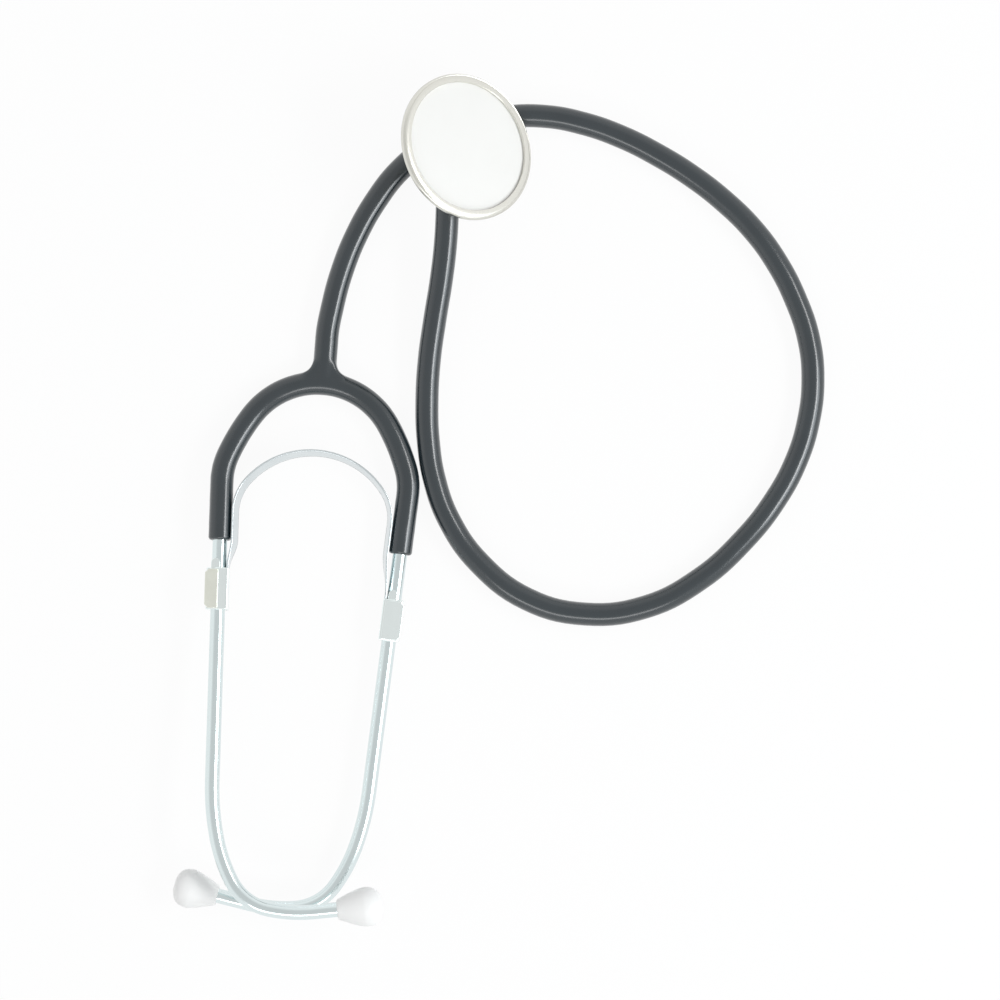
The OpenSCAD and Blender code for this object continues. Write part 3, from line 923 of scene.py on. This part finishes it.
    def half(self, whole: bpy.types.Object, side: Side, finish: bpy.types.Material) -> bpy.types.Object:
        """One half of the strip, from the crown's middle to its clip.

        Args:
            whole: The whole strip.
            side: Which half.
            finish: The strip's material.

        Returns:
            The strip's half.
        """
        strip = copy_of(whole, f"spring_{side.word}_half")
        crown = self.strip_point(self.stations(side)[0], side, 0.5)
        cut_away(strip, crown, Vector((-side.value, 0.0, 0.0)))
        smooth_by_angle(strip, self.strip_crisp_angle)
        dress(strip, finish)
        clip_mouth = self.strip_point(self.on_leg(self.clip_start(side), side), side, 0.5)
        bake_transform(strip)
        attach(strip, "tubing")
        return strip

    def clip_place(self, side: Side) -> Matrix:
        """A clip's place: +Z down the tube, and the outline's X pointing away from the strip."""
        start, down = self.yoke.socket_start(), self.yoke.down()
        along = self.clip_start(side)
        pitch = self.lie.pitch(side)
        origin = self.lie.place(
            side.value * (start[0] + along * down[0]), start[1] + along * down[1], 0.0, pitch
        )
        run = self.lie.direction(side.value * down[0], down[1], pitch).normalized()
        out = self.lie.direction(side.value * -down[1], down[0], pitch).normalized()
        up = out.cross(run) * (1.0 if out.cross(run).z > 0.0 else -1.0)
        return Matrix.Translation(origin) @ Matrix((out, up, run)).transposed().to_4x4()

    def clip(self, side: Side, finishes: Finishes) -> bpy.types.Object:
        """One folded clip: a sleeve round the tube and the strip, with its lapped flap and its tongue.

        Args:
            side: Which clip.
            finishes: The object's finishes.

        Returns:
            The finished clip.
        """
        left = side is Side.LEFT
        inner = self.clip_offset + self.strip_t / 2.0 + self.strip_cover
        near = self.clip_offset - self.strip_t / 2.0 - self.seat_gap
        tall = self.strip_w / 2.0 + self.seat_gap + self.clip_wall
        outer = self.ear_tube_r + (self.left_fold_reach if left else self.right_fold_reach)
        low = self.fold_h / 2.0
        edge = self.left_flap_from if left else self.right_flap_from
        edge_up = low + (tall - low) * (outer - edge) / (outer + near)
        raised, under = self.flap_rise, self.flap_rise - self.flap_t
        sleeve_outline = [
            (outer, -low), (outer, low), (-near, tall), (-inner, tall), (-inner, -tall), (-near, -tall),
        ]
        flap_outline = [
            (outer + raised, -low), (outer + raised, low + raised), (edge, edge_up + raised),
            (edge, edge_up + under), (outer + under, low + under), (outer + under, -low),
        ]
        sleeve = self.drawn_out(f"spring_clip_{side.word}", sleeve_outline, self.clip_len)
        self.round_edges(sleeve, self.fold_round)
        flap = self.flap(flap_outline, outer + raised)
        tongue = self.tongue(self.left_tongue_at if left else self.right_tongue_at)
        for piece in (sleeve, tongue):
            dress(piece, finishes.clip)
        # The left flap's darker, browner colour is painted shade and painted reflection; the right flap keeps
        # the plain clip colour
        dress(flap, finishes.flap if left else finishes.clip)
        clip = join([sleeve, flap, tongue], f"spring_clip_{side.word}")
        settle(clip, self.clip_place(side))
        clean(clip)
        smooth_by_angle(clip, self.clip_crisp_angle)
        apply_modifier(clip, "WEIGHTED_NORMAL", keep_sharp=True)
        return clip

    def flap(self, outline: list[Flat], reach: float) -> bpy.types.Object:
        """The flap lapped over a clip, with its outer corners cut off and its edges rounded.

        Args:
            outline: The flap's section.
            reach: Distance of its outer side from the tube's axis.

        Returns:
            The flap, in the clip's own frame.
        """
        length = self.clip_len - 2.0 * self.flap_inset
        flap = self.drawn_out("clip_flap", outline, length)
        middle = length / 2.0
        for end in (-1.0, 1.0):
            corner = Vector((reach - self.flap_corner, 0.0, middle + end * middle)) * MM
            cut_away(flap, corner, Vector((1.0, 0.0, end)))
        self.round_edges(flap, self.flap_round)
        settle(flap, Matrix.Translation((0.0, 0.0, self.flap_inset * MM)))
        return flap

    def tongue(self, across: float) -> bpy.types.Object:
        """The round-ended tongue that comes out of a clip and lies on the tube.

        Args:
            across: Distance of the tongue's middle from the tube's axis.

        Returns:
            The tongue, in the clip's own frame.
        """
        half = self.tongue_w / 2.0
        outline = [(across - half, -self.tongue_in), (across + half, -self.tongue_in)]
        for index in range(self.tongue_steps + 1):
            turn = math.pi * index / self.tongue_steps
            outline.append((across + half * math.cos(turn), self.tongue_out - half + half * math.sin(turn)))
        tongue = self.drawn_out("clip_tongue", outline, self.tongue_t)
        self.round_edges(tongue, self.tongue_round)
        low = self.ear_tube_r - self.tongue_sink
        lying = Matrix.Rotation(math.radians(-90.0), 4, "X")
        settle(tongue, Matrix.Translation((0.0, low * MM, 0.0)) @ lying)
        return tongue

    def round_edges(self, piece: bpy.types.Object, rounding: float) -> None:
        """Round every sharp edge of a piece of sheet."""
        apply_modifier(
            piece, "BEVEL", width=rounding * MM, segments=self.fold_steps, limit_method="ANGLE",
            angle_limit=math.radians(self.fold_angle),
        )

    def drawn_out(self, name: str, outline: list[Flat], length: float) -> bpy.types.Object:
        """An outline drawn out along +Z into a closed solid."""
        piece = outline_piece(name, outline, closed=True, fill=True)
        make_active(piece)
        bpy.ops.object.mode_set(mode="EDIT")
        bpy.ops.mesh.select_all(action="SELECT")
        bpy.ops.mesh.extrude_region_move(TRANSFORM_OT_translate={"value": (0.0, 0.0, length * MM)})
        bpy.ops.mesh.select_all(action="SELECT")
        bpy.ops.mesh.normals_make_consistent(inside=False)
        bpy.ops.object.mode_set(mode="OBJECT")
        return piece

    def build(self, finishes: Finishes) -> None:
        """Build both halves of the strip and both clips.

        Args:
            finishes: The object's finishes.
        """
        whole = self.whole_strip()
        for side in Side:
            strip = self.half(whole, side, finishes.spring)
            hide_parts("leaf_spring")
            LOG.info("%s built", strip.name)
            clip = self.clip(side, finishes)
            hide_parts(f"{side.word}_spring_clip")
            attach(clip, f"{side.word}_ear")
            LOG.info("%s built", clip.name)
        bpy.data.objects.remove(whole)


@dataclass(frozen=True)
class TipSeat:
    """Where an ear tip sits: the end of its tube, the tube's direction there, and its depth on it."""

    tube_end: Place
    direction: Place
    grip: float


@dataclass
class EarTips:
    """The two push-on ear tips, each turned from one outline."""

    length: float = 13.8
    bulb_r: float = 6.0
    neck_r: float = 3.0
    bulb_share: float = 0.62
    blunt: float = 2.5
    flank: float = 1.3
    tube_r: float = 2.3
    socket: float = 9.05
    hole_r: float = 1.4
    mouth_round: float = 0.35
    mouth_corner: Flat = (0.1, 0.08)
    hole_round: float = 0.45
    hole_corner: Flat = (0.15, 0.1)
    socket_corner: float = 0.3
    flank_steps: int = 22
    blunt_steps: int = 20
    turned_steps: int = 64
    left: TipSeat = TipSeat((-38.406, -124.98, 6.0), (-0.98481, 0.17363, -0.00262), 6.0)
    right: TipSeat = TipSeat((13.806, -124.289, 18.6), (0.98481, 0.17287, -0.01639), 8.9)

    def outline(self) -> list[Flat]:
        """The tip's outline: neck, bulb, blunt end, sound hole and socket."""
        bulb = self.length * self.bulb_share
        inset, rise = self.mouth_corner
        line = [(self.neck_r - self.mouth_round, 0.0), (self.neck_r - inset, rise)]
        line.append((self.neck_r, self.mouth_round))
        for index in range(1, self.flank_steps + 1):
            share = index / self.flank_steps
            swell = 1.0 - (1.0 - share) ** self.flank
            radius = self.neck_r + (self.bulb_r - self.neck_r) * swell
            line.append((radius, max(self.mouth_round, bulb * share)))
        rim_share = (self.hole_r + self.hole_round) / self.bulb_r
        hole_share = (1.0 - rim_share ** self.blunt) ** (1.0 / self.blunt)
        for index in range(1, self.blunt_steps + 1):
            share = math.sin(math.asin(hole_share) * index / self.blunt_steps)
            radius = self.bulb_r * (1.0 - share ** self.blunt) ** (1.0 / self.blunt)
            line.append((radius, bulb + (self.length - bulb) * share))
        rim = line[-1][1]
        out, drop = self.hole_corner
        corner = self.socket_corner
        line += [(self.hole_r + out, rim - drop), (self.hole_r, rim - self.hole_round)]
        line += [(self.hole_r, self.socket + corner), (self.tube_r - corner, self.socket)]
        return line + [(self.tube_r, self.socket - corner), (self.tube_r, corner)]

    def build(self, finish: bpy.types.Material) -> None:
        """Build both tips and set each on its tube.

        Args:
            finish: The tips' material.
        """
        for name, seat in (("left", self.left), ("right", self.right)):
            axis = Vector(seat.direction).normalized()
            mouth = (Vector(seat.tube_end) - seat.grip * axis) * MM
            place = axis_place(mouth, axis)
            tip = turned_piece(f"tip_{name}", self.outline(), True, self.turned_steps, place)
            dress(tip, finish)
            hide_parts(f"{name}_ear_tip")
            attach(tip, f"{name}_tip")
            LOG.info("%s built", tip.name)


@dataclass
class ListeningHead:
    """The listening head: its ring and its diaphragm, in a frame with +Z out of the face."""

    centre: Place = (27.2, 108.5, 22.4)
    tilt: float = 33.0
    heading: float = 21.0
    ring_r: float = 22.7
    window_r: float = 20.0
    ring_h: float = 3.0
    rounding: float = 0.9
    band: float = 0.9
    back_r: float = 21.8
    inner_r: float = 21.0
    lip: float = 0.9
    flat_share: float = 0.25
    groove_depth: float = 0.12
    groove_steps: tuple[int, ...] = (8, 9)
    groove_in_share: float = 0.6
    back_corner: Flat = (0.2, 0.15)
    band_corner: Flat = (0.06, 0.05)
    band_edge: float = 0.08
    lip_corner: float = 0.12
    front_steps: int = 16
    ring_steps: int = 160
    sheet_r: float = 20.8
    sheet_top: float = -1.05
    sheet_t: float = 0.5
    sheet_gap: float = 0.15
    crown: float = 0.35
    dome_steps: int = 24
    sheet_steps: int = 128
    boss_depth: float = 11.5
    stem_azimuth: float = 257.0
    stem_lean: float = 15.5

    def place(self) -> Matrix:
        """The head's place."""
        heading = Matrix.Rotation(math.radians(self.heading), 4, "Z")
        tilt = Matrix.Rotation(math.radians(self.tilt), 4, "Y")
        return Matrix.Translation(Vector(self.centre) * MM) @ (heading @ tilt)

    def on_stem(self, distance: float) -> Vector:
        """A point on the stem's axis at a distance from the boss's axis, in metres."""
        lean, around = math.radians(self.stem_lean), math.radians(self.stem_azimuth)
        out = Vector((math.cos(lean) * math.cos(around), math.cos(lean) * math.sin(around), -math.sin(lean)))
        return self.place() @ ((Vector((0.0, 0.0, -self.boss_depth)) + distance * out) * MM)

    def ring_outline(self) -> list[Flat]:
        """The ring's section: tapered back, band, rounded front with a fine groove, and lip."""
        flat_r = self.window_r + self.flat_share * (self.ring_r - self.window_r)
        back, band_low = -self.ring_h, -self.rounding - self.band
        inset, rise = self.back_corner
        line = [(self.inner_r, back), (self.back_r - inset, back), (self.back_r, back + rise)]
        inset, drop = self.band_corner
        line += [(self.ring_r - inset, band_low - drop), (self.ring_r, band_low + self.band_edge)]
        for index in range(self.front_steps + 1):
            turn = math.radians(90.0 * index / self.front_steps)
            sunk = self.groove_depth if index in self.groove_steps else 0.0
            radius = flat_r + (self.ring_r - flat_r) * math.cos(turn)
            height = -self.rounding * (1.0 - math.sin(turn))
            line.append((radius - sunk * self.groove_in_share, height - sunk))
        line += [(self.window_r + self.lip_corner, 0.0), (self.window_r, -self.lip_corner)]
        return line + [(self.window_r, -self.lip), (self.inner_r, -self.lip)]

    def sheet_outline(self) -> list[Flat]:
        """The diaphragm's section: a shallow dome, its flat rim, and the same from behind."""
        bend_r = self.window_r - self.sheet_gap
        front: list[Flat] = []
        for index in range(self.dome_steps + 1):
            share = index / self.dome_steps
            front.append((bend_r * share, self.sheet_top + self.crown * (1.0 - share ** 2)))
        back = [(r, z - self.sheet_t) for r, z in reversed(front)]
        rim = [(self.sheet_r, self.sheet_top), (self.sheet_r, self.sheet_top - self.sheet_t)]
        return front + rim + back

    def build(self, finishes: Finishes) -> None:
        """Build the ring and the diaphragm.

        Args:
            finishes: The object's finishes.
        """
        ring = turned_piece("head_ring", self.ring_outline(), True, self.ring_steps, self.place())
        dress(ring, finishes.ring)
        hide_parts("diaphragm_ring")
        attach(ring, "ring")
        sheet = turned_piece(
            "head_diaphragm", self.sheet_outline(), False, self.sheet_steps, self.place()
        )
        dress(sheet, finishes.diaphragm)
        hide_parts("diaphragm")
        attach(sheet, "tubing")
        LOG.info("head_ring and head_diaphragm built")


@dataclass
class Hose:
    """The hose from the yoke's stem to the listening head, on its route over the table."""

    lie: Lie
    head: ListeningHead
    yoke: Yoke
    sides: int = 28
    hose_stop: float = 10.0
    spigot: float = 16.0
    straight_start: float = 3.6
    length: float = 0.501
    route: tuple[Place, ...] = (
        (1.0, 24.0, 0.0), (3.1, 35.0, 0.0), (6.7, 46.5, 0.0), (12.0, 57.8, 0.0), (18.5, 67.5, 0.0),
        (27.0, 75.5, 0.0), (37.5, 82.0, 0.0), (49.5, 86.2, 0.0), (62.0, 87.5, 0.0), (74.0, 86.2, 0.0),
        (86.0, 83.0, 0.0), (97.5, 78.3, 0.0), (108.5, 72.6, 0.0), (119.0, 65.7, 0.0), (128.5, 57.7, 0.0),
        (136.5, 48.4, 0.0), (143.5, 37.0, 0.0), (148.5, 25.0, 0.0), (150.7, 12.6, 0.0), (150.3, 0.0, 0.0),
        (147.5, -12.5, 0.0), (141.9, -25.2, 0.0), (133.1, -38.3, 0.0), (120.5, -51.4, 0.0),
        (104.5, -61.2, 0.0), (86.0, -64.8, 0.0), (67.9, -61.6, 0.0), (52.3, -51.6, 0.0),
        (42.1, -39.3, 0.0), (36.5, -27.0, 0.0), (33.6, -14.8, 0.1), (32.3, -2.5, 0.4), (32.1, 9.8, 1.3),
        (32.9, 22.2, 3.0), (34.0, 34.7, 5.0),
    )

    def line(self) -> list[Vector]:
        """The route from the yoke's stem to the head's stem, in metres."""
        top = Vector(self.lie.yoke_top)
        line = [(top + Vector((0.0, self.yoke.stem, 0.0))) * MM]
        line += [(top + Vector(point)) * MM for point in self.route]
        return line + [self.head.on_stem(self.hose_stop + self.spigot), self.head.on_stem(self.hose_stop)]

    def build(self, finish: bpy.types.Material) -> None:
        """Args:
            finish: The rubber's material.
        """
        line = self.line()
        radius = self.yoke.tube_r
        hose = round_tube("hose_tube", line, radius * MM, self.sides, dense=False)
        first = hose.data.splines[0].bezier_points[0]
        first.handle_left_type = first.handle_right_type = "FREE"
        straight = Vector((0.0, self.straight_start, 0.0)) * MM
        first.handle_right = first.co + straight
        first.handle_left = first.co - straight
        dress(hose, finish)
        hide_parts("hose")
        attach(hose, "tubing")
        run = sum((b - a).length for a, b in zip(line, line[1:]))
        LOG.info("hose_tube built, %.4f m along its points", run)


def dress_nodes(nodes: dict[str, bpy.types.Object], finishes: Finishes) -> None:
    """Give the carried-over solids their finishes.

    Args:
        nodes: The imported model's nodes by name.
        finishes: The object's finishes.
    """
    for name, finish in (
        ("left_ear_tube", finishes.tube),
        ("right_ear_tube", finishes.tube),
        ("chestpiece_body", finishes.head),
        ("chestpiece_stem", finishes.head),
    ):
        nodes[name].material_slots[0].material = finish
        LOG.info("%s dressed", name)


# The studio


@dataclass(frozen=True)
class SoftBox:
    """A rectangular lamp: its place, its width and height in metres, its power and its light."""

    name: str
    place: Place
    size: Flat
    watts: float
    mirrored: bool = True
    colour: Colour = (1.0, 1.0, 1.0)


@dataclass
class Studio:
    """A white table, soft light and the photograph's overhead camera, in metres."""

    camera_at: Place = (0.04486, 0.0022, 1.0)
    camera_turn: float = 4.4
    lens: float = 116.13
    sensor: float = 36.0
    far: float = 20.0
    floor_size: float = 4.0
    floor_drop: float = 0.0002
    floor_white: float = 0.9
    floor_roughness: float = 0.9
    floor_glow: float = 0.93
    world_colour: Colour = (0.96, 0.98, 1.0)
    world_light: float = 0.46
    walls: float = 1.0
    ceiling: float = 0.72
    walls_end: float = 0.45
    ceiling_start: float = 0.92
    aim: Place = (0.04, 0.0, 0.0)
    lamps: tuple[SoftBox, ...] = (
        SoftBox("soft_box_right", (0.70, 0.05, 0.68), (0.80, 0.18), 2.85),
        SoftBox("soft_wall_right", (0.80, -0.12, 0.57), (0.60, 0.50), 2.6, colour=(0.88, 0.95, 1.0)),
        SoftBox("soft_box_left", (-0.75, 0.10, 0.55), (1.3, 1.00), 2.0, mirrored=False),
        SoftBox("soft_box_front", (0.05, -0.72, 0.75), (0.9, 0.24), 2.0),
    )

    def camera(self) -> None:
        """Add the camera."""
        deselect()
        turn = (0.0, 0.0, math.radians(self.camera_turn))
        bpy.ops.object.camera_add(location=self.camera_at, rotation=turn)
        camera = bpy.context.object
        camera.data.lens = self.lens
        camera.data.sensor_width = self.sensor
        camera.data.clip_end = self.far
        bpy.context.scene.camera = camera

    def seen_directly(self, nodes: Nodes) -> bpy.types.NodeSocket:
        """A mask of rays that show the background: from the camera, a gloss or through glass."""
        path = nodes.add("ShaderNodeLightPath").outputs
        mirrored = nodes.math("MAXIMUM", path["Is Glossy Ray"], path["Is Transmission Ray"])
        return nodes.math("MAXIMUM", path["Is Camera Ray"], mirrored)

    def world(self) -> None:
        """Light the scene from all round, and show white walls and a dimmer ceiling."""
        made = bpy.data.worlds.new("studio")
        bpy.context.scene.world = made
        made.use_nodes = True
        nodes = Nodes(made.node_tree)
        light = made.node_tree.nodes["Background"]
        out = made.node_tree.nodes["World Output"]
        light.inputs["Color"].default_value = (*self.world_colour, 1.0)
        light.inputs["Strength"].default_value = self.world_light
        split = nodes.add("ShaderNodeSeparateXYZ")
        nodes.link(nodes.add("ShaderNodeTexCoord").outputs["Generated"], split.inputs["Vector"])
        fade = nodes.add("ShaderNodeMapRange", interpolation_type="SMOOTHSTEP")
        fade.inputs["From Min"].default_value = self.walls_end
        fade.inputs["From Max"].default_value = self.ceiling_start
        fade.inputs["To Min"].default_value = self.walls
        fade.inputs["To Max"].default_value = self.ceiling
        nodes.link(split.outputs["Z"], fade.inputs["Value"])
        shown = nodes.add("ShaderNodeBackground")
        shown.inputs["Color"].default_value = (1.0, 1.0, 1.0, 1.0)
        nodes.link(fade.outputs["Result"], shown.inputs["Strength"])
        mix = nodes.add("ShaderNodeMixShader")
        nodes.link(self.seen_directly(nodes), mix.inputs["Fac"])
        nodes.link(light.outputs["Background"], mix.inputs[1])
        nodes.link(shown.outputs["Background"], mix.inputs[2])
        nodes.link(mix.outputs["Shader"], out.inputs["Surface"])

    def floor(self) -> None:
        """Lay the white floor, which still shows a faint shadow."""
        deselect()
        bpy.ops.mesh.primitive_plane_add(size=self.floor_size, location=(0.0, 0.0, -self.floor_drop))
        floor = bpy.context.object
        floor.name = "studio_floor"
        made = bpy.data.materials.new("studio_white")
        made.use_nodes = True
        nodes = Nodes(made.node_tree)
        shader = made.node_tree.nodes["Principled BSDF"]
        white = self.floor_white
        shader.inputs["Base Color"].default_value = (white, white, white, 1.0)
        shader.inputs["Roughness"].default_value = self.floor_roughness
        glow = nodes.add("ShaderNodeEmission")
        glow.inputs["Color"].default_value = (1.0, 1.0, 1.0, 1.0)
        mix = nodes.add("ShaderNodeMixShader")
        share = nodes.math("MULTIPLY", self.seen_directly(nodes), self.floor_glow)
        nodes.link(share, mix.inputs["Fac"])
        nodes.link(shader.outputs["BSDF"], mix.inputs[1])
        nodes.link(glow.outputs["Emission"], mix.inputs[2])
        nodes.link(mix.outputs["Shader"], made.node_tree.nodes["Material Output"].inputs["Surface"])
        dress(floor, made)

    def lamp(self, box: SoftBox) -> None:
        """Add a lamp that looks at the table's middle.

        Args:
            box: The lamp to add.
        """
        deselect()
        place = Vector(box.place)
        bpy.ops.object.light_add(type="AREA", location=place)
        lamp = bpy.context.object
        lamp.name = box.name
        lamp.data.shape = "RECTANGLE"
        lamp.data.size, lamp.data.size_y = box.size
        lamp.data.energy = box.watts
        lamp.data.color = box.colour
        lamp.visible_glossy = box.mirrored
        lamp.rotation_euler = (Vector(self.aim) - place).to_track_quat("-Z", "Y").to_euler()

    def build(self) -> None:
        """Build the studio."""
        bpy.context.scene.view_settings.view_transform = "Standard"
        self.camera()
        self.world()
        self.floor()
        for box in self.lamps:
            self.lamp(box)
        LOG.info("studio built")


def main() -> None:
    """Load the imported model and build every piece."""
    logging.basicConfig(level=logging.INFO, format="%(message)s")
    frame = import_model()
    finishes = Finishes()
    lie = Lie()
    head = ListeningHead()
    Studio().build()
    yoke = Yoke(lie)
    Hose(lie, head, yoke).build(finishes.hose)
    yoke.build(finishes.hose)
    LeafSpring(lie, yoke).build(finishes)
    EarTips().build(finishes.tip)
    head.build(finishes)
    dress_nodes(frame["nodes"], finishes)
    deselect()


if __name__ == "__main__":
    main()
